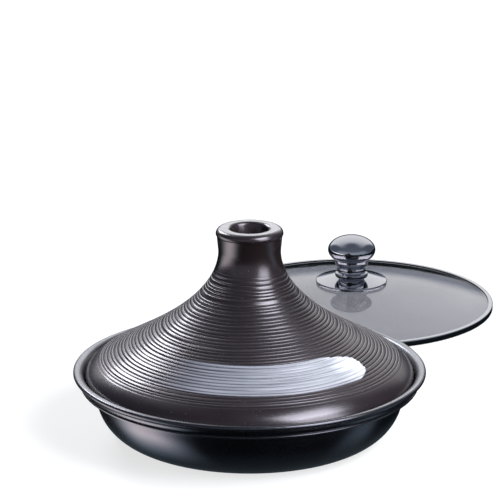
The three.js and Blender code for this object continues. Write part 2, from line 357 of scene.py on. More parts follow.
# The tree turns the profile round the axis and cuts the ridges into the slope.
ridging = bpy.data.node_groups.new("turned_with_ridges", "GeometryNodeTree")
ridging.interface.new_socket("Turned", in_out="OUTPUT", socket_type="NodeSocketGeometry")
ridging.interface.new_socket("Profile", in_out="INPUT", socket_type="NodeSocketGeometry")
ridge_sizes = {
    "Round Steps": ("NodeSocketInt", CONE_STEPS),
    "Ridge Pitch": ("NodeSocketFloat", RIDGE_PITCH * MM),
    "Ridge Depth": ("NodeSocketFloat", RIDGE_DEPTH * MM),
    "Ridges From": ("NodeSocketFloat", RIDGES_FROM * MM),
    "Ridges To": ("NodeSocketFloat", RIDGES_TO * MM),
    "Fade": ("NodeSocketFloat", RIDGES_FADE * MM),
    "Groove Width": ("NodeSocketFloat", GROOVE_WIDTH),
    "Face Crown": ("NodeSocketFloat", FACE_CROWN),
    "Wander": ("NodeSocketFloat", RIDGE_WANDER),
    "Seed": ("NodeSocketFloat", RIDGE_SEED),
    "Glaze": ("NodeSocketMaterial", None),
}
identifiers = {}
for name, (kind, _) in ridge_sizes.items():
    socket = ridging.interface.new_socket(name, in_out="INPUT", socket_type=kind)
    identifiers[name] = socket.identifier
given = add(ridging, "NodeGroupInput").outputs
rows = add(ridging, "GeometryNodeAttributeDomainSize", {"Geometry": given["Profile"]}).outputs["Point Count"]
last_row = add(ridging, "ShaderNodeMath", {0: rows, 1: 1}, operation="SUBTRACT").outputs[0]
columns = add(ridging, "ShaderNodeMath", {0: given["Round Steps"], 1: 1}, operation="ADD").outputs[0]
sheet = add(ridging, "GeometryNodeMeshGrid", {"Vertices X": rows, "Vertices Y": columns}).outputs["Mesh"]
position = add(ridging, "GeometryNodeInputPosition").outputs["Position"]
spot = add(ridging, "ShaderNodeSeparateXYZ", {0: position}).outputs
row_share = add(ridging, "ShaderNodeMath", {0: spot["X"], 1: 0.5}, operation="ADD").outputs[0]
row = add(ridging, "ShaderNodeMath", {0: row_share, 1: last_row}, operation="MULTIPLY").outputs[0]
row = add(ridging, "ShaderNodeMath", {0: row}, operation="ROUND").outputs[0]
row_before = add(ridging, "ShaderNodeMath", {0: row, 1: 1}, operation="SUBTRACT").outputs[0]
row_after = add(ridging, "ShaderNodeMath", {0: row, 1: 1}, operation="ADD").outputs[0]
points = []
for index in (row_before, row, row_after):
    sample = add(ridging, "GeometryNodeSampleIndex", {
        "Geometry": given["Profile"],
        "Value": position,
        "Index": index,
    }, data_type="FLOAT_VECTOR", clamp=True)
    points.append(sample.outputs["Value"])
stored = add(ridging, "GeometryNodeInputNamedAttribute", {"Name": "slope_length"}, data_type="FLOAT")
length = add(ridging, "GeometryNodeSampleIndex", {
    "Geometry": given["Profile"],
    "Value": stored.outputs["Attribute"],
    "Index": row,
}, data_type="FLOAT", clamp=True).outputs["Value"]

# Across the profile, square to its run and out of the clay.
run = add(ridging, "ShaderNodeVectorMath", {0: points[2], 1: points[0]}, operation="SUBTRACT").outputs[0]
square = add(ridging, "ShaderNodeVectorMath", {0: run, 1: (0, 1, 0)}, operation="CROSS_PRODUCT").outputs[0]
square = add(ridging, "ShaderNodeVectorMath", {0: square, 1: (-1, -1, -1)}, operation="MULTIPLY").outputs[0]
square = add(ridging, "ShaderNodeVectorMath", {0: square}, operation="NORMALIZE").outputs[0]

# One ridge for each pitch along the slope, not quite evenly spaced.
turn_share = add(ridging, "ShaderNodeMath", {0: spot["Y"], 1: 0.5}, operation="ADD").outputs[0]
count = add(ridging, "ShaderNodeMath", {0: length, 1: given["Ridge Pitch"]}, operation="DIVIDE").outputs[0]
uneven = add(ridging, "ShaderNodeTexNoise", {"W": count, "Scale": 0.45, "Detail": 1}, noise_dimensions="1D")
uneven = add(ridging, "ShaderNodeMath", {0: uneven.outputs[0], 1: given["Wander"]}, operation="MULTIPLY")
phase = add(ridging, "ShaderNodeMath", {0: count, 1: uneven.outputs[0]}, operation="ADD").outputs[0]
nearest = add(ridging, "ShaderNodeMath", {0: phase}, operation="ROUND").outputs[0]
aside = add(ridging, "ShaderNodeMath", {0: phase, 1: nearest}, operation="SUBTRACT").outputs[0]
aside = add(ridging, "ShaderNodeMath", {0: aside, 1: given["Groove Width"]}, operation="DIVIDE").outputs[0]
aside = add(ridging, "ShaderNodeMath", {0: aside, 1: aside}, operation="MULTIPLY").outputs[0]
aside = add(ridging, "ShaderNodeMath", {0: aside, 1: -1}, operation="MULTIPLY").outputs[0]
groove = add(ridging, "ShaderNodeMath", {0: aside}, operation="EXPONENT").outputs[0]

# The face between two grooves is slightly round.
wave = add(ridging, "ShaderNodeMath", {0: phase, 1: math.pi}, operation="MULTIPLY").outputs[0]
wave = add(ridging, "ShaderNodeMath", {0: wave}, operation="SINE").outputs[0]
wave = add(ridging, "ShaderNodeMath", {0: wave}, operation="ABSOLUTE").outputs[0]
face = add(ridging, "ShaderNodeMath", {0: wave, 1: given["Face Crown"]}, operation="MULTIPLY").outputs[0]
cut = add(ridging, "ShaderNodeMath", {0: face, 1: groove}, operation="SUBTRACT").outputs[0]

# The cut is deeper here and there, and runs out at both ends of the slope.
angle = add(ridging, "ShaderNodeMath", {0: turn_share, 1: 2 * math.pi}, operation="MULTIPLY").outputs[0]
angle = add(ridging, "ShaderNodeMath", {0: angle, 1: math.pi / 2}, operation="ADD").outputs[0]
east = add(ridging, "ShaderNodeMath", {0: angle}, operation="COSINE").outputs[0]
north = add(ridging, "ShaderNodeMath", {0: angle}, operation="SINE").outputs[0]
around = add(ridging, "ShaderNodeCombineXYZ", {"X": east, "Y": north, "Z": nearest}).outputs[0]
hand = add(ridging, "ShaderNodeTexNoise", {
    "Vector": around,
    "W": given["Seed"],
    "Scale": 1.7,
    "Detail": 2,
}, noise_dimensions="4D")
hand = add(ridging, "ShaderNodeMapRange", {
    "Value": hand.outputs[0],
    "From Min": 0.3,
    "From Max": 0.7,
    "To Min": LIGHT_CUT,
    "To Max": HEAVY_CUT,
})
shares = [hand.outputs[0]]
for end, way in (("Ridges From", "ADD"), ("Ridges To", "SUBTRACT")):
    full = add(ridging, "ShaderNodeMath", {0: given[end], 1: given["Fade"]}, operation=way).outputs[0]
    fade = add(ridging, "ShaderNodeMapRange", {
        "Value": length,
        "From Min": given[end],
        "From Max": full,
    }, interpolation_type="SMOOTHSTEP").outputs[0]
    shares.append(fade)

# How deep a point lies in a groove is kept for the glaze, which is painted darker there as shade and made
# duller.
depth = add(ridging, "ShaderNodeMath", {0: given["Ridge Depth"], 1: cut}, operation="MULTIPLY").outputs[0]
marked = groove
for share in shares:
    depth = add(ridging, "ShaderNodeMath", {0: depth, 1: share}, operation="MULTIPLY").outputs[0]
    marked = add(ridging, "ShaderNodeMath", {0: marked, 1: share}, operation="MULTIPLY").outputs[0]
offset = add(ridging, "ShaderNodeVectorMath", {0: square, "Scale": depth}, operation="SCALE").outputs[0]
cut_point = add(ridging, "ShaderNodeVectorMath", {0: points[1], 1: offset}, operation="ADD").outputs[0]
cut_spot = add(ridging, "ShaderNodeSeparateXYZ", {0: cut_point}).outputs
right = add(ridging, "ShaderNodeMath", {0: cut_spot["X"], 1: east}, operation="MULTIPLY").outputs[0]
back = add(ridging, "ShaderNodeMath", {0: cut_spot["X"], 1: north}, operation="MULTIPLY").outputs[0]
turned_point = add(ridging, "ShaderNodeCombineXYZ", {"X": right, "Y": back, "Z": cut_spot["Z"]}).outputs[0]
grooved = add(ridging, "GeometryNodeStoreNamedAttribute", {
    "Geometry": sheet,
    "Name": "groove",
    "Value": marked,
}, data_type="FLOAT", domain="POINT")
shaped = add(ridging, "GeometryNodeSetPosition", {"Geometry": grooved.outputs[0], "Position": turned_point})
welded = add(ridging, "GeometryNodeMergeByDistance", {"Geometry": shaped.outputs[0], "Distance": WELD * MM})
outward = add(ridging, "GeometryNodeFlipFaces", {"Mesh": welded.outputs[0]})
smooth = add(ridging, "GeometryNodeSetShadeSmooth", {"Geometry": outward.outputs[0]})
real = add(ridging, "GeometryNodeRealizeInstances", {"Geometry": smooth.outputs[0]})
glazed = add(ridging, "GeometryNodeSetMaterial", {
    "Geometry": real.outputs[0],
    "Material": given["Glaze"],
})
add(ridging, "NodeGroupOutput", {"Turned": glazed.outputs[0]})

# Iron-glazed stoneware: dark brown, satin, with pale kiln specks and a faint lilac bloom. One stroke of
# white slip is brushed round the slope, bluish and streaked where it is thin, white at its loaded end.
GLAZE_CLOUD = 26 * MM
GLAZE_GRAIN = 0.8 * MM
GRAIN_SHARE = 0.35
SPECK_SPACING = 2.6 * MM
SPECK_CORE = 0.08
SPECK_EDGE = 0.15
SPECK_SHARE = 0.28
PINHOLE_SHARE = 0.09
STROKE_INNER = 76.3 * MM
STROKE_OUTER = 102.4 * MM
STROKE_END = math.radians(61)
STROKE_START = math.radians(-62)
STROKE_CORNER = math.radians(16)
STREAK_WIDTH = 1.1 * MM
STREAK_DRIFT = 1.6
EDGE_WANDER = 0.05
EDGE_BLUR = 0.035
END_MIDDLE = 0.575
END_TEAR = 0.02
END_BLUR = 0.02
SLIP_LOADS = ((0.0, 0.0), (0.16, 0.05), (0.34, 0.34), (0.6, 0.47), (0.84, 0.6), (0.95, 0.95))
SLIP_THICKNESS = 0.12 * MM
SLIP_ROUGHNESS = 0.55
GROOVE_ROUGHNESS = 0.8

glaze, tree, shader, place = new_material("iron_glazed_stoneware")
brown, roughness = drifting(
    tree, shader, place, GLAZE_CLOUD, detail=4, tones=("140e0f", "241b1c"), roughness=(0.2, 0.29))
dots = add(tree, "ShaderNodeTexVoronoi", {"Vector": place, "Scale": 1 / SPECK_SPACING, "Randomness": 1})
near = add(tree, "ShaderNodeMapRange", {
    "Value": dots.outputs["Distance"],
    "From Min": SPECK_CORE,
    "From Max": SPECK_EDGE,
    "To Min": 1,
    "To Max": 0,
}).outputs["Result"]
lot = add(tree, "ShaderNodeSeparateColor", {0: dots.outputs["Color"]}).outputs["Red"]
chosen = add(tree, "ShaderNodeMath", {0: lot, 1: 1 - SPECK_SHARE}, operation="GREATER_THAN").outputs[0]
speck = add(tree, "ShaderNodeMath", {0: near, 1: chosen}, operation="MULTIPLY").outputs[0]
speckled = add(tree, "ShaderNodeMix", {
    "Factor": speck,
    "A": brown,
    "B": colour("5d5556"),
}, data_type="RGBA").outputs["Result"]


def bearing(tree, place):
    """The angle round the vertical axis, counted from the front towards the right."""
    spot = add(tree, "ShaderNodeSeparateXYZ", {0: place}).outputs
    front = add(tree, "ShaderNodeMath", {0: spot["Y"], 1: -1}, operation="MULTIPLY").outputs[0]
    return add(tree, "ShaderNodeMath", {0: spot["X"], 1: front}, operation="ARCTAN2").outputs[0]


# The stroke runs round the axis: its angle from the front, and its share of the way down the slope.
angle = bearing(tree, place)
flat = add(tree, "ShaderNodeVectorMath", {0: place, 1: (1, 1, 0)}, operation="MULTIPLY").outputs[0]
radius = add(tree, "ShaderNodeVectorMath", {0: flat}, operation="LENGTH").outputs["Value"]
down = add(tree, "ShaderNodeMapRange", {
    "Value": radius,
    "From Min": STROKE_INNER,
    "From Max": STROKE_OUTER,
}, clamp=False).outputs["Result"]
bristles = (STROKE_OUTER - STROKE_INNER) / STREAK_WIDTH
lane = add(tree, "ShaderNodeMath", {0: down, 1: bristles}, operation="MULTIPLY").outputs[0]
drift = add(tree, "ShaderNodeMath", {0: angle, 1: STREAK_DRIFT}, operation="MULTIPLY").outputs[0]
lanes = add(tree, "ShaderNodeCombineXYZ", {"X": lane, "Y": drift}).outputs[0]
streak = add(tree, "ShaderNodeTexNoise", {"Vector": lanes, "Scale": 1, "Detail": 3}).outputs["Fac"]
ragged = add(tree, "ShaderNodeTexNoise", {"Vector": lanes, "Scale": 0.32, "Detail": 4}).outputs["Fac"]

# Both long edges wander a little, and the loaded end is rounded at its corners and torn.
wander = add(tree, "ShaderNodeMapRange", {
    "Value": ragged,
    "To Min": -EDGE_WANDER,
    "To Max": EDGE_WANDER,
}).outputs["Result"]
edge = add(tree, "ShaderNodeMath", {0: down, 1: wander}, operation="ADD").outputs[0]
off_middle = add(tree, "ShaderNodeMath", {
    0: down,
    1: 2,
    2: -2 * END_MIDDLE,
}, operation="MULTIPLY_ADD").outputs[0]
off_middle = add(tree, "ShaderNodeMath", {0: off_middle}, operation="ABSOLUTE").outputs[0]
off_middle = add(tree, "ShaderNodeMath", {0: off_middle, 1: 3}, operation="POWER").outputs[0]
cut_back = add(tree, "ShaderNodeMath", {0: off_middle, 1: STROKE_CORNER}, operation="MULTIPLY").outputs[0]
torn = add(tree, "ShaderNodeMapRange", {
    "Value": ragged,
    "To Min": -END_TEAR,
    "To Max": END_TEAR,
}).outputs["Result"]
reach = add(tree, "ShaderNodeMath", {0: angle, 1: cut_back}, operation="ADD").outputs[0]
reach = add(tree, "ShaderNodeMath", {0: reach, 1: torn}, operation="ADD").outputs[0]
borders = []
for value, outside, full in (
        (edge, 0, EDGE_BLUR),
        (edge, 1, 1 - EDGE_BLUR),
        (reach, STROKE_END, STROKE_END - END_BLUR)):
    borders.append(add(tree, "ShaderNodeMapRange", {
        "Value": value,
        "From Min": outside,
        "From Max": full,
    }, interpolation_type="SMOOTHSTEP").outputs["Result"])

# The brush starts dry on the left and leaves more and more slip towards its end on the right.
way = add(tree, "ShaderNodeMapRange", {
    "Value": angle,
    "From Min": STROKE_START,
    "From Max": STROKE_END,
}).outputs["Result"]
load = add(tree, "ShaderNodeValToRGB", {"Fac": way})
for stop, amount in SLIP_LOADS:
    mark = load.color_ramp.elements.new(stop)
    mark.color = (amount, amount, amount, 1)
load.color_ramp.elements.remove(load.color_ramp.elements[-1])
load.color_ramp.elements.remove(load.color_ramp.elements[0])
uneven = add(tree, "ShaderNodeMapRange", {
    "Value": streak,
    "From Min": 0.3,
    "From Max": 0.7,
    "To Min": 0.62,
    "To Max": 1.25,
}).outputs["Result"]
slip = add(tree, "ShaderNodeMath", {0: load.outputs["Color"], 1: uneven}, operation="MULTIPLY").outputs[0]

# A few pinholes in the slip show the glaze below it.
rare = add(tree, "ShaderNodeMath", {0: lot, 1: PINHOLE_SHARE}, operation="LESS_THAN").outputs[0]
pinhole = add(tree, "ShaderNodeMath", {0: near, 1: rare}, operation="MULTIPLY").outputs[0]
closed = add(tree, "ShaderNodeMath", {0: 1, 1: pinhole}, operation="SUBTRACT").outputs[0]
for share in (*borders, closed):
    slip = add(tree, "ShaderNodeMath", {0: slip, 1: share}, operation="MULTIPLY", use_clamp=True).outputs[0]
slip_white = add(tree, "ShaderNodeMix", {
    "Factor": slip,
    "A": colour("b4bad6"),
    "B": colour("fbfbfc"),
}, data_type="RGBA").outputs["Result"]
painted = add(tree, "ShaderNodeMix", {
    "Factor": slip,
    "A": speckled,
    "B": slip_white,
}, data_type="RGBA").outputs["Result"]

# In the grooves the glaze is painted darker, as shade, and made duller, except where the slip fills them.
groove = add(tree, "ShaderNodeAttribute", attribute_name="groove").outputs["Fac"]
bare = add(tree, "ShaderNodeMath", {0: 1, 1: slip}, operation="SUBTRACT").outputs[0]
groove_shade_and_dullness = add(tree, "ShaderNodeMath", {0: groove, 1: bare}, operation="MULTIPLY", use_clamp=True).outputs[0]
shaded = add(tree, "ShaderNodeMix", {
    "Factor": groove_shade_and_dullness,
    "A": painted,
    "B": colour("050304"),
}, data_type="RGBA").outputs["Result"]
tree.links.new(shaded, shader.inputs["Base Color"])
for cover, covered in ((groove_shade_and_dullness, GROOVE_ROUGHNESS), (slip, SLIP_ROUGHNESS)):
    roughness = add(tree, "ShaderNodeMix", {
        "Factor": cover,
        "A": roughness,
        "B": covered,
    }, data_type="FLOAT").outputs["Result"]
tree.links.new(roughness, shader.inputs["Roughness"])
grain = add(tree, "ShaderNodeTexNoise", {"Vector": place, "Scale": 1 / GLAZE_GRAIN, "Detail": 2})
height = add(tree, "ShaderNodeMath", {
    0: grain.outputs["Fac"],
    1: GRAIN_SHARE,
}, operation="MULTIPLY").outputs[0]
height = add(tree, "ShaderNodeMath", {0: height, 1: slip}, operation="ADD").outputs[0]
relief = add(tree, "ShaderNodeBump", {"Height": height, "Distance": SLIP_THICKNESS, "Strength": 0.6})
tree.links.new(relief.outputs["Normal"], shader.inputs["Normal"])
shader.inputs["IOR"].default_value = 1.7
shader.inputs["Specular Tint"].default_value = colour("f3e9f5")

ridge_modifier = profile_piece.modifiers.new("ridging", "NODES")
ridge_modifier.node_group = ridging
for name, (_, value) in ridge_sizes.items():
    ridge_modifier[identifiers[name]] = glaze if name == "Glaze" else value
evaluated = profile_piece.evaluated_get(bpy.context.evaluated_depsgraph_get())
cone_mesh = bpy.data.meshes.new_from_object(evaluated)
bpy.data.objects.remove(profile_piece)
cone_lid_turned = placed("cone_lid_turned", cone_mesh)
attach(cone_lid_turned, "cone_lid")
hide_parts("cone_lid")

# Glass panel
# A pressed dome of tempered soda-lime glass with a smoke-grey tint, ground at its edge, with a hole in
# the middle for the knob's screw. The steam vent's small hole isn't cut: the eyelet stands for it.

LID_STEPS = 192
GLASS_THICKNESS = 3.4
GLASS_RISE = 17
BAND_SHEET = 0.5
BAND_GRIP = 3.2
GAP = 0.3
SCREW_HOLE = 3.7
GLASS_ROUNDING = 0.5
DOME_ROWS = 40

band_low, band_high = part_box("rim_band")
lid_centre = ((band_low.x + band_high.x) / 2, (band_low.y + band_high.y) / 2)
band_radius = (band_high.x - band_low.x) / 2 / MM
glass_radius = band_radius - BAND_SHEET - GAP
glass_foot = BAND_SHEET + GAP
dome_radius = glass_radius - BAND_GRIP
dome_curve = (dome_radius ** 2 + GLASS_RISE ** 2) / (2 * GLASS_RISE)
dome_under = glass_foot + GLASS_RISE
dome_top = dome_under + GLASS_THICKNESS


def drop(radius):
    """How far the dome has fallen at a radius, in millimetres."""
    return dome_curve - math.sqrt(dome_curve ** 2 - radius ** 2)


dome_radii = [SCREW_HOLE + (dome_radius - SCREW_HOLE) * row / DOME_ROWS for row in range(DOME_ROWS + 1)]
glass_corners = [(radius, dome_under - drop(radius), 0) for radius in dome_radii]
glass_corners += [(glass_radius, glass_foot, GLASS_ROUNDING)]
glass_corners += [(glass_radius, glass_foot + GLASS_THICKNESS, GLASS_ROUNDING)]
glass_corners += [(radius, dome_top - drop(radius), 0) for radius in reversed(dome_radii)]
glass_dome = turned("glass_dome", rounded(glass_corners, True), LID_STEPS, True, lid_centre)

# Tempered glass, pressed and fire-polished: clear with a smoke-grey body colour, and a mirror-smooth skin
# with the slow waviness of pressed glass. Lamps shine through it.
PRESS_WAVE = 35 * MM
WAVE_HEIGHT = 0.3 * MM

glass, tree, shader, place = new_material("smoked_tempered_glass")
shader.inputs["Base Color"].default_value = colour("8f9098")
shader.inputs["Transmission Weight"].default_value = 1
shader.inputs["Roughness"].default_value = 0.02
shader.inputs["IOR"].default_value = 1.5
wave = add(tree, "ShaderNodeTexNoise", {"Vector": place, "Scale": 1 / PRESS_WAVE, "Detail": 1})
relief = add(tree, "ShaderNodeBump", {
    "Height": wave.outputs["Fac"],
    "Distance": WAVE_HEIGHT,
    "Strength": 0.3,
})
tree.links.new(relief.outputs["Normal"], shader.inputs["Normal"])
lit_through = add(tree, "ShaderNodeBsdfTransparent", {"Color": colour("d9dadf")})
path = add(tree, "ShaderNodeLightPath").outputs
mixed = add(tree, "ShaderNodeMixShader", {
    0: path["Is Shadow Ray"],
    1: shader.outputs["BSDF"],
    2: lit_through.outputs["BSDF"],
})
tree.links.new(mixed.outputs["Shader"], tree.nodes["Material Output"].inputs["Surface"])

dress(glass_dome, glass, "glass_lid", "glass_panel")

# Rim band
# A strip of stainless steel rolled round the edge of the glass into a channel, closed with a butt joint
# and polished.

BAND_ROUNDING = 0.4
BAND_EDGE_ROUNDING = 0.2

band_top = glass_foot + GLASS_THICKNESS + GAP + BAND_SHEET
grip = glass_radius - BAND_GRIP + GAP
band_outline = rounded([
    (grip, 0, BAND_EDGE_ROUNDING),
    (band_radius, 0, BAND_ROUNDING + BAND_SHEET),
    (band_radius, band_top, BAND_ROUNDING + BAND_SHEET),
    (grip, band_top, BAND_EDGE_ROUNDING),
    (grip, band_top - BAND_SHEET, BAND_EDGE_ROUNDING),
    (band_radius - BAND_SHEET, band_top - BAND_SHEET, BAND_ROUNDING),
    (band_radius - BAND_SHEET, BAND_SHEET, BAND_ROUNDING),
    (grip, BAND_SHEET, BAND_EDGE_ROUNDING),
], True)
rolled_band = turned("rolled_band", band_outline, LID_STEPS, True, lid_centre)

# Stainless steel, spun or rolled and then buffed to a mirror: dark reflections with a cold cast, very
# low roughness, and faint buffing marks that show only in the highlights, drawn coarser than they are.
BUFF_MARK = 1.2 * MM

steel, tree, shader, place = new_material("mirror_polished_stainless")
shader.inputs["Metallic"].default_value = 1
drifting(tree, shader, place, BUFF_MARK, detail=3, tones=("aeb0b7", "bbbdc3"), roughness=(0.03, 0.1))

dress(rolled_band, steel, "glass_lid", "rim_band")

# Vent eyelet
# A small steel eyelet set square to the glass, flanged above, and rolled out below to hold it.

EYELET_FLANGE = 5
EYELET_BARREL = 3.2
EYELET_BORE = 2
EYELET_SHEET = 0.7
EYELET_ROLL = 0.3
EYELET_CORNER = 0.2
EYELET_CROWN = 0.45
EYELET_MOUTH = 0.6
EYELET_STEPS = 64
VENT_RADIUS = 77.4
VENT_ANGLE = math.radians(220)

under_glass = -GLASS_THICKNESS - GAP
eyelet_outline = rounded([
    (EYELET_BORE, under_glass - EYELET_SHEET, EYELET_ROLL),
    (EYELET_FLANGE, under_glass - EYELET_SHEET, EYELET_ROLL),
    (EYELET_FLANGE, under_glass, EYELET_ROLL),
    (EYELET_BARREL, under_glass, EYELET_CORNER),
    (EYELET_BARREL, GAP, EYELET_CORNER),
    (EYELET_FLANGE, GAP, EYELET_CORNER),
    (EYELET_FLANGE, GAP + EYELET_SHEET, EYELET_CROWN),
    (EYELET_BORE, GAP + EYELET_SHEET, EYELET_MOUTH),
], True)
vent_ring = turned("vent_ring", eyelet_outline, EYELET_STEPS, True)
vent_place = Matrix.Translation((*lid_centre, 0)) @ Matrix.Rotation(VENT_ANGLE, 4, "Z")
vent_place @= Matrix.Translation((VENT_RADIUS * MM, 0, (dome_top - drop(VENT_RADIUS)) * MM))
vent_place @= Matrix.Rotation(math.asin(VENT_RADIUS / dome_curve), 4, "Y")
vent_ring.data.transform(vent_place)
dress(vent_ring, steel, "glass_lid", "vent_eyelet")

# Knob fixing under the glass
# A screw comes up through a steel washer and a silicone gasket, through the glass and a second gasket,
# and into the knob's threaded insert, so that no metal bears on the glass.

SCREW_RADIUS = 2.5
SCREW_CLEAR = 2.8
SCREW_BITE = 9
SCREW_HEAD_RADIUS = 4.6
SCREW_HEAD_HEIGHT = 2.8
SCREW_HEAD_ROUNDING = 2
SCREW_ROUNDING = 0.3
SCREW_TIP_ROUNDING = 0.4
WASHER_RADIUS = 8.5
WASHER_THICKNESS = 1.2
WASHER_ROUNDING = 0.25
LOWER_GASKET_RADIUS = 10.5
LOWER_GASKET_THICKNESS = 1.5
LOWER_GASKET_ROUNDING = 0.4
UPPER_GASKET_RADIUS = 14
UPPER_GASKET_ROUNDING = 0.5
PLATE_SHEET = 0.9
KNOB_STEPS = 96


def ring_piece(name, radius, low, high, rounding):
    """A flat ring round the screw."""
    outline = rounded([
        (SCREW_CLEAR, low, rounding),
        (radius, low, rounding),
        (radius, high, rounding),
        (SCREW_CLEAR, high, rounding),
    ], True)
    return turned(name, outline, KNOB_STEPS, True, lid_centre)


plate_low, plate_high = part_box("knob_plate")
plate_top = plate_high.z / MM
seal_low = dome_under - GAP - LOWER_GASKET_THICKNESS
seal_high = seal_low + LOWER_GASKET_THICKNESS
washer_low = seal_low - GAP - WASHER_THICKNESS
washer_high = washer_low + WASHER_THICKNESS
pad_low = dome_top + GAP
pad_high = plate_top - PLATE_SHEET - GAP
head_top = washer_low - GAP
screw_top = plate_top + GAP + SCREW_BITE
lower_seal = ring_piece("lower_seal", LOWER_GASKET_RADIUS, seal_low, seal_high, LOWER_GASKET_ROUNDING)
upper_seal = ring_piece("upper_seal", UPPER_GASKET_RADIUS, pad_low, pad_high, UPPER_GASKET_ROUNDING)
round_washer = ring_piece("round_washer", WASHER_RADIUS, washer_low, washer_high, WASHER_ROUNDING)
pan_screw = turned("pan_screw", rounded([
    (0, head_top - SCREW_HEAD_HEIGHT, 0),
    (SCREW_HEAD_RADIUS, head_top - SCREW_HEAD_HEIGHT, SCREW_HEAD_ROUNDING),
    (SCREW_HEAD_RADIUS, head_top, SCREW_ROUNDING),
    (SCREW_RADIUS, head_top, SCREW_ROUNDING),
    (SCREW_RADIUS, screw_top, SCREW_TIP_ROUNDING),
    (0, screw_top, 0),
]), KNOB_STEPS, False, lid_centre)

# Zinc-plated steel, cold headed and stamped: grey, half dull, mottled by the plating.
PLATING_MOTTLE = 2 * MM

plated, tree, shader, place = new_material("zinc_plated_steel")
shader.inputs["Metallic"].default_value = 1
drifting(tree, shader, place, PLATING_MOTTLE, detail=4, tones=("8d9095", "b3b6ba"), roughness=(0.25, 0.45))

# Moulded silicone: dark grey, matt, with a soft grain from the mould.
MOULD_GRAIN = 0.8 * MM

silicone, tree, shader, place = new_material("moulded_silicone")
grain = add(tree, "ShaderNodeTexNoise", {"Vector": place, "Scale": 1 / MOULD_GRAIN, "Detail": 2})
tone = add(tree, "ShaderNodeMix", {
    "Factor": grain.outputs["Fac"],
    "A": colour("2b2c30"),
    "B": colour("3a3b40"),
}, data_type="RGBA")
tree.links.new(tone.outputs["Result"], shader.inputs["Base Color"])
shader.inputs["Roughness"].default_value = 0.65

dress(lower_seal, silicone, "glass_lid", "lower_gasket")
dress(upper_seal, silicone, "glass_lid", "upper_gasket")
dress(round_washer, plated, "glass_lid", "screw_washer")
dress(pan_screw, plated, "glass_lid", "knob_screw")

# Knob plate
# A crowned disc spun from stainless sheet, its edge turned down close to the glass, flat in the middle
# where the knob stands. It is buffed like the knob.

PLATE_RADIUS = 30
PLATE_SKIRT = 1.2
PLATE_CROWN = 12
PLATE_TURN = 1.1
PLATE_TURN_INSIDE = 0.5
PLATE_EDGE_ROUNDING = 0.3
COLLAR_FOOT = 14

plate_edge = plate_low.z / MM
plate_seat = plate_top - PLATE_SHEET
plate_outline = rounded([
    (SCREW_CLEAR, plate_seat, 0),
    (COLLAR_FOOT, plate_seat, PLATE_CROWN),
    (PLATE_RADIUS - PLATE_SHEET, plate_edge + PLATE_SKIRT, PLATE_TURN_INSIDE),
    (PLATE_RADIUS - PLATE_SHEET, plate_edge, PLATE_EDGE_ROUNDING),
    (PLATE_RADIUS, plate_edge, PLATE_EDGE_ROUNDING),
    (PLATE_RADIUS, plate_edge + PLATE_SKIRT + PLATE_SHEET, PLATE_TURN),
    (COLLAR_FOOT, plate_top, PLATE_CROWN),
    (SCREW_CLEAR, plate_top, 0),
], True)
crowned_plate = turned("crowned_plate", plate_outline, KNOB_STEPS, True, lid_centre)
dress(crowned_plate, steel, "glass_lid", "knob_plate")

# Knob
# A flattened ball on a waisted neck, spun from stainless sheet and open below, where the threaded insert
# is pressed in.

KNOB_RADIUS = 20
KNOB_HALF_HEIGHT = 12
KNOB_NECK_RADIUS = 11.8
KNOB_NECK_HEIGHT = 9.5
NECK_FLANGE = 1.6
NECK_FLANGE_EDGE = 0.4
NECK_FLANGE_ROUNDING = 0.8
WAIST_RISE = 3.2
WAIST_DROP = 2.6
WAIST_ROUNDING = 2
KNOB_SHEET = 1
INSERT_ROUNDING = 0.3
BALL_ROWS = 48

knob_seat = plate_top + GAP
neck_top = knob_seat + KNOB_NECK_HEIGHT
ball_middle = neck_top + KNOB_HALF_HEIGHT
neck_inside = KNOB_NECK_RADIUS - KNOB_SHEET


def ball(radius, half_height, from_radius):
    """The ball's side from below, where it leaves the neck, up to the top."""
    start = -math.acos(from_radius / radius)
    found = []
    for row in range(BALL_ROWS + 1):
        angle = start + (math.pi / 2 - start) * row / BALL_ROWS
        found.append(Vector((radius * math.cos(angle), ball_middle + half_height * math.sin(angle))) * MM)
    return found


neck_side = rounded([
    (neck_inside, knob_seat, 0),
    (COLLAR_FOOT, knob_seat, NECK_FLANGE_EDGE),
    (COLLAR_FOOT, knob_seat + NECK_FLANGE, NECK_FLANGE_ROUNDING),
    (KNOB_NECK_RADIUS, knob_seat + WAIST_RISE, WAIST_ROUNDING),
    (KNOB_NECK_RADIUS, neck_top - WAIST_DROP, WAIST_ROUNDING),
    (COLLAR_FOOT, neck_top, 0),
])
ball_inside = ball(KNOB_RADIUS - KNOB_SHEET, KNOB_HALF_HEIGHT - KNOB_SHEET, neck_inside)
knob_outline = list(reversed(ball_inside)) + neck_side + ball(KNOB_RADIUS, KNOB_HALF_HEIGHT, COLLAR_FOOT)[1:]
for end in (0, -1):
    knob_outline[end].x = 0
spun_knob = turned("spun_knob", knob_outline, KNOB_STEPS, False, lid_centre)
dress(spun_knob, steel, "glass_lid", "knob_ball")
insert_top = knob_seat + SCREW_BITE + GAP
threaded_insert = ring_piece("threaded_insert", neck_inside - GAP, knob_seat, insert_top, INSERT_ROUNDING)
dress(threaded_insert, plated, "glass_lid", "knob_insert")

# Table and studio
# A plain white table in a studio with four softboxes: a large one in front on the right, one behind on the
# left, one overhead on the right and a low strip at the back.

FLOOR_HALF = 15
FLOOR_DROP = 0.2
TABLE_NEAR = 0.3
TABLE_FAR = 2.4
OWN_LIGHT_NEAR = 0.72

floor_corners = []
for side, end in ((-1, -1), (1, -1), (1, 1), (-1, 1)):
    floor_corners.append((side * FLOOR_HALF, end * FLOOR_HALF, -FLOOR_DROP * MM))
floor_mesh = bpy.data.meshes.new("floor")
floor_mesh.from_pydata(floor_corners, [], [(0, 1, 2, 3)])
floor = placed("floor", floor_mesh)

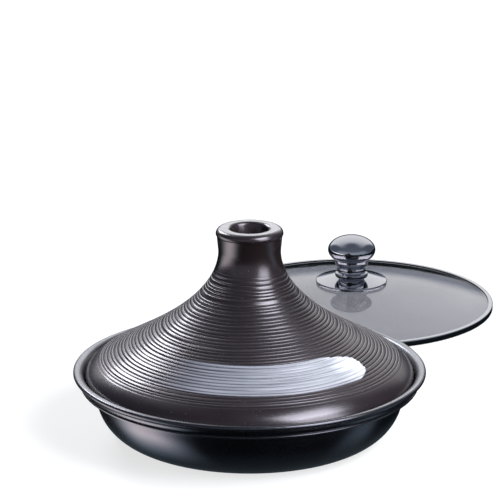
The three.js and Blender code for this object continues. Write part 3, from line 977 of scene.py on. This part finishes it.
# White laminate. Where it is seen, directly or in metal and glass, part of its white is its own light,
# more of it away from the object, so that it meets the white behind it and still takes a soft shadow.
table_top = bpy.data.materials.new("white_table_top")
table_top.use_nodes = True
tree = table_top.node_tree
tree.nodes.clear()
place = add(tree, "ShaderNodeTexCoord").outputs["Object"]
away = add(tree, "ShaderNodeVectorMath", {0: place}, operation="LENGTH").outputs["Value"]
own_light = add(tree, "ShaderNodeMapRange", {
    "Value": away,
    "From Min": TABLE_NEAR,
    "From Max": TABLE_FAR,
    "To Min": OWN_LIGHT_NEAR,
    "To Max": 1,
}, interpolation_type="SMOOTHSTEP").outputs["Result"]
path = add(tree, "ShaderNodeLightPath").outputs
seen = path["Is Camera Ray"]
for kind in ("Is Glossy Ray", "Is Transmission Ray"):
    seen = add(tree, "ShaderNodeMath", {0: seen, 1: path[kind]}, operation="MAXIMUM").outputs[0]
strength = add(tree, "ShaderNodeMath", {0: own_light, 1: seen}, operation="MULTIPLY").outputs[0]
white = add(tree, "ShaderNodeBsdfDiffuse", {"Color": colour("a0a0a0")}).outputs["BSDF"]
glow = add(tree, "ShaderNodeEmission", {"Strength": strength}).outputs["Emission"]
both = add(tree, "ShaderNodeAddShader", {0: white, 1: glow}).outputs["Shader"]
add(tree, "ShaderNodeOutputMaterial", {"Surface": both})
floor.data.materials.append(table_top)

# The camera, and what is seen through the glass, meet plain white. Reflections meet a room with a white
# panel at the back, half light in front and dim elsewhere, because dark glaze and black coating look grey in
# a room that is white all round. The room lights the object itself only weakly, with a bluish cast.
AMBIENT = 0.12
ROOM_FRONT = 0.55
ROOM_TOP = 0.24
ROOM_SIDE = 0.2
ROOM_BACK = 1.15

# The room's borders lie on the unit sphere of directions: where each starts, and where it is full.
FRONT_HEAD = (0.2, 0.7)
FRONT_SIDE = (-0.6, 0)
PANEL_DEPTH = (-0.35, 0.9)
PANEL_SIDE = (0.72, 0.52)
PANEL_FOOT = (0.08, 0.24)
PANEL_HEAD = (1.01, 0.88)


def soft_mask(tree, borders):
    """How far all values lie within their borders of (value, where it starts, where it is full)."""
    mask = 1
    for value, start, full in borders:
        share = add(tree, "ShaderNodeMapRange", {
            "Value": value,
            "From Min": start,
            "From Max": full,
        }, interpolation_type="SMOOTHSTEP").outputs["Result"]
        mask = add(tree, "ShaderNodeMath", {0: mask, 1: share}, operation="MULTIPLY").outputs[0]
    return mask


world = bpy.data.worlds.new("studio")
bpy.context.scene.world = world
world.use_nodes = True
tree = world.node_tree
tree.nodes.clear()
path = add(tree, "ShaderNodeLightPath").outputs
seen = add(tree, "ShaderNodeMath", {
    0: path["Is Camera Ray"],
    1: path["Is Transmission Ray"],
}, operation="MAXIMUM").outputs[0]
way = add(tree, "ShaderNodeTexCoord").outputs["Generated"]
way = add(tree, "ShaderNodeSeparateXYZ", {0: way}).outputs
across = add(tree, "ShaderNodeMath", {0: way["X"]}, operation="ABSOLUTE").outputs[0]
front_light = add(tree, "ShaderNodeMapRange", {
    "Value": way["Z"],
    "From Min": FRONT_HEAD[0],
    "From Max": FRONT_HEAD[1],
    "To Min": ROOM_FRONT,
    "To Max": ROOM_TOP,
}, interpolation_type="SMOOTHSTEP").outputs["Result"]
unlit = add(tree, "ShaderNodeMapRange", {
    "Value": way["Y"],
    "From Min": FRONT_SIDE[0],
    "From Max": FRONT_SIDE[1],
    "To Min": front_light,
    "To Max": ROOM_SIDE,
}, interpolation_type="SMOOTHSTEP").outputs["Result"]
panel = soft_mask(tree, (
    (way["Y"], *PANEL_DEPTH),
    (across, *PANEL_SIDE),
    (way["Z"], *PANEL_FOOT),
    (way["Z"], *PANEL_HEAD),
))
room = add(tree, "ShaderNodeMapRange", {
    "Value": panel,
    "To Min": unlit,
    "To Max": ROOM_BACK,
}).outputs["Result"]
dim = add(tree, "ShaderNodeMapRange", {"Value": path["Is Glossy Ray"], "To Min": AMBIENT, "To Max": room})
strength = add(tree, "ShaderNodeMapRange", {"Value": seen, "To Min": dim.outputs["Result"], "To Max": 1})
tint = add(tree, "ShaderNodeMix", {
    "Factor": strength.outputs["Result"],
    "A": colour("c3d2f2"),
    "B": colour("ffffff"),
}, data_type="RGBA").outputs["Result"]
sky = add(tree, "ShaderNodeBackground", {"Color": tint, "Strength": strength.outputs["Result"]})
add(tree, "ShaderNodeOutputWorld", {"Surface": sky.outputs["Background"]})

# The lamps leave out the glass and the polished steel, which show the room alone, with no lamp in it.
unlit_pieces = bpy.data.collections.new("out_of_the_lamps")
for piece in (glass_dome, rolled_band, vent_ring, crowned_plate, spun_knob):
    unlit_pieces.objects.link(piece)
for entry in unlit_pieces.collection_objects:
    entry.light_linking.link_state = "EXCLUDE"

# Each softbox has its place, its width and height in metres, and its brightness against white as 1.
SOFTBOXES = {
    "key_front_right": ((1.13, -0.95, 0.86), 0.95, 1.25, 5.6),
    "behind_left": ((-0.818, 1.188, 1.11), 0.5, 0.67, 13),
    "overhead_right": ((0.65, -0.475, 1.06), 0.8, 0.45, 9),
    "back_strip": ((0, 1.0, 0.52), 0.75, 0.3, 2.2),
}
LAMP_TARGET = Vector((0, 0, 0.08))
LAMP_COLOUR = colour("f6fbff")[:3]
WATTS_OF_WHITE = 4

for name, (place, width, height, brightness) in SOFTBOXES.items():
    lamp = bpy.data.lights.new(name, "AREA")
    lamp.shape = "RECTANGLE"
    lamp.size = width
    lamp.size_y = height
    lamp.color = LAMP_COLOUR
    lamp.energy = WATTS_OF_WHITE * width * height * brightness
    box = placed(name, lamp)
    box.location = place
    box.rotation_euler = (LAMP_TARGET - Vector(place)).to_track_quat("-Z", "Y").to_euler()
    box.visible_camera = False
    box.light_linking.receiver_collection = unlit_pieces

# Black card
# A sheet of black felt on the table, cut out where the pot stands and seen only in reflections. On either
# side a strip of it glows with its own light as it runs outwards, which gives the pot and the chimney
# their long soft highlights.

CARD_NEAR = 0.082
CARD_FAR = 8
CARD_STEPS = 96
FELT_NEAR = 0.105
FELT_FAR = 0.135
FELT_LIGHT_NEAR = 0.16
FELT_LIGHT_FAR = 0.02
STRIP_START = 0.1
STRIP_FULL = 0.155
STRIP_NEAR = 0.13
STRIP_FAR = 0.4
STRIP_BEND = math.radians(6.3)
STRIP_CORE = math.radians(4)
LEFT_ANGLE = math.radians(96)
LEFT_SPREAD_NEAR = math.radians(28)
LEFT_SPREAD_FAR = math.radians(44)
LEFT_LIGHT_NEAR = 6
LEFT_LIGHT_FAR = 3.8
RIGHT_ANGLE = math.radians(101)
RIGHT_SPREAD = math.radians(14)
RIGHT_LIGHT = 0.9
PATCH_LIGHT = 4.5
PATCH_FRONT = (math.radians(30), math.radians(36))
PATCH_BACK = (math.radians(120), math.radians(95))
PATCH_RIM = (0.12, 0.1)

card_points = []
for step in range(CARD_STEPS):
    angle = 2 * math.pi * step / CARD_STEPS
    for radius in (CARD_NEAR, CARD_FAR):
        card_points.append((radius * math.cos(angle), radius * math.sin(angle), 0))
card_count = len(card_points)
card_faces = [(p, p + 1, (p + 3) % card_count, (p + 2) % card_count) for p in range(0, card_count, 2)]
card_mesh = bpy.data.meshes.new("black_card")
card_mesh.from_pydata(card_points, [], card_faces)
card = placed("black_card", card_mesh)
card.visible_camera = False
card.visible_diffuse = False
card.visible_shadow = False

# Black felt with a blue cast, which glows faintly with its own light close to the pot. The left strip glows
# warm white, broad and bright, and widens on its way out. The right one is narrow and faint.
felt = bpy.data.materials.new("black_felt")
felt.use_nodes = True
tree = felt.node_tree
tree.nodes.clear()
place = add(tree, "ShaderNodeTexCoord").outputs["Object"]
angle = bearing(tree, place)
radius = add(tree, "ShaderNodeVectorMath", {0: place}, operation="LENGTH").outputs["Value"]
bend = add(tree, "ShaderNodeMath", {0: STRIP_BEND, 1: radius}, operation="DIVIDE").outputs[0]
left_spread = add(tree, "ShaderNodeMapRange", {
    "Value": radius,
    "From Min": STRIP_NEAR,
    "From Max": STRIP_FAR,
    "To Min": LEFT_SPREAD_NEAR,
    "To Max": LEFT_SPREAD_FAR,
}).outputs["Result"]
strips = []
for side, far_angle, spread in ((-1, LEFT_ANGLE, left_spread), (1, RIGHT_ANGLE, RIGHT_SPREAD)):
    strip_angle = add(tree, "ShaderNodeMath", {0: far_angle, 1: bend}, operation="SUBTRACT").outputs[0]
    aside = add(tree, "ShaderNodeMath", {0: angle, 1: side}, operation="MULTIPLY").outputs[0]
    aside = add(tree, "ShaderNodeMath", {0: aside, 1: strip_angle}, operation="SUBTRACT").outputs[0]
    aside = add(tree, "ShaderNodeMath", {0: aside}, operation="ABSOLUTE").outputs[0]
    strips.append(soft_mask(tree, ((aside, spread, STRIP_CORE), (radius, STRIP_START, STRIP_FULL))))
left_light = add(tree, "ShaderNodeMapRange", {
    "Value": radius,
    "From Min": STRIP_NEAR,
    "From Max": STRIP_FAR,
    "To Min": LEFT_LIGHT_NEAR,
    "To Max": LEFT_LIGHT_FAR,
}).outputs["Result"]
felt_glow = add(tree, "ShaderNodeMapRange", {
    "Value": radius,
    "From Min": FELT_NEAR,
    "From Max": FELT_FAR,
    "To Min": FELT_LIGHT_NEAR,
    "To Max": FELT_LIGHT_FAR,
}).outputs["Result"]

# Under the glass lid the felt is seen only in the knob and its plate, through the glass: black in front,
# with a white patch on either side that glows with its own light.
from_knob = add(tree, "ShaderNodeVectorMath", {
    0: place,
    1: (*lid_centre, 0),
}, operation="SUBTRACT").outputs[0]
knob_angle = add(tree, "ShaderNodeMath", {0: bearing(tree, from_knob)}, operation="ABSOLUTE").outputs[0]
distance = add(tree, "ShaderNodeVectorMath", {0: from_knob}, operation="LENGTH").outputs["Value"]
patch = soft_mask(tree, (
    (knob_angle, *PATCH_FRONT),
    (knob_angle, *PATCH_BACK),
    (distance, *PATCH_RIM),
))
for cover, light in ((strips[1], RIGHT_LIGHT), (strips[0], left_light), (patch, PATCH_LIGHT)):
    felt_glow = add(tree, "ShaderNodeMapRange", {
        "Value": cover,
        "To Min": felt_glow,
        "To Max": light,
    }).outputs["Result"]
warm = add(tree, "ShaderNodeMath", {0: strips[0], 1: patch}, operation="MAXIMUM").outputs[0]
cast = add(tree, "ShaderNodeMix", {
    "Factor": warm,
    "A": colour("b4ccdc"),
    "B": colour("fff6f4"),
}, data_type="RGBA").outputs["Result"]
glow = add(tree, "ShaderNodeEmission", {"Color": cast, "Strength": felt_glow}).outputs["Emission"]
clear = add(tree, "ShaderNodeBsdfTransparent").outputs["BSDF"]
mirrored = add(tree, "ShaderNodeLightPath").outputs["Glossy Depth"]
mirrored = add(tree, "ShaderNodeMath", {0: mirrored, 1: 0.5}, operation="GREATER_THAN").outputs[0]
shown = add(tree, "ShaderNodeMixShader", {0: mirrored, 1: clear, 2: glow}).outputs["Shader"]
add(tree, "ShaderNodeOutputMaterial", {"Surface": shown})
card.data.materials.append(felt)

# Camera
# It stands two metres in front and looks down at the cone's chimney through a long lens.

CAMERA_PLACE = (0.0003, -2.0, 0.73866)
CAMERA_PITCH = 16.639
CAMERA_LENS = 206.24
CAMERA_SENSOR = 36

camera = placed("camera", bpy.data.cameras.new("camera"))
camera.data.lens = CAMERA_LENS
camera.data.sensor_width = CAMERA_SENSOR
camera.location = CAMERA_PLACE
camera.rotation_euler = (math.radians(90 - CAMERA_PITCH), 0, 0)
bpy.context.scene.camera = camera
bpy.context.scene.view_settings.view_transform = "Standard"
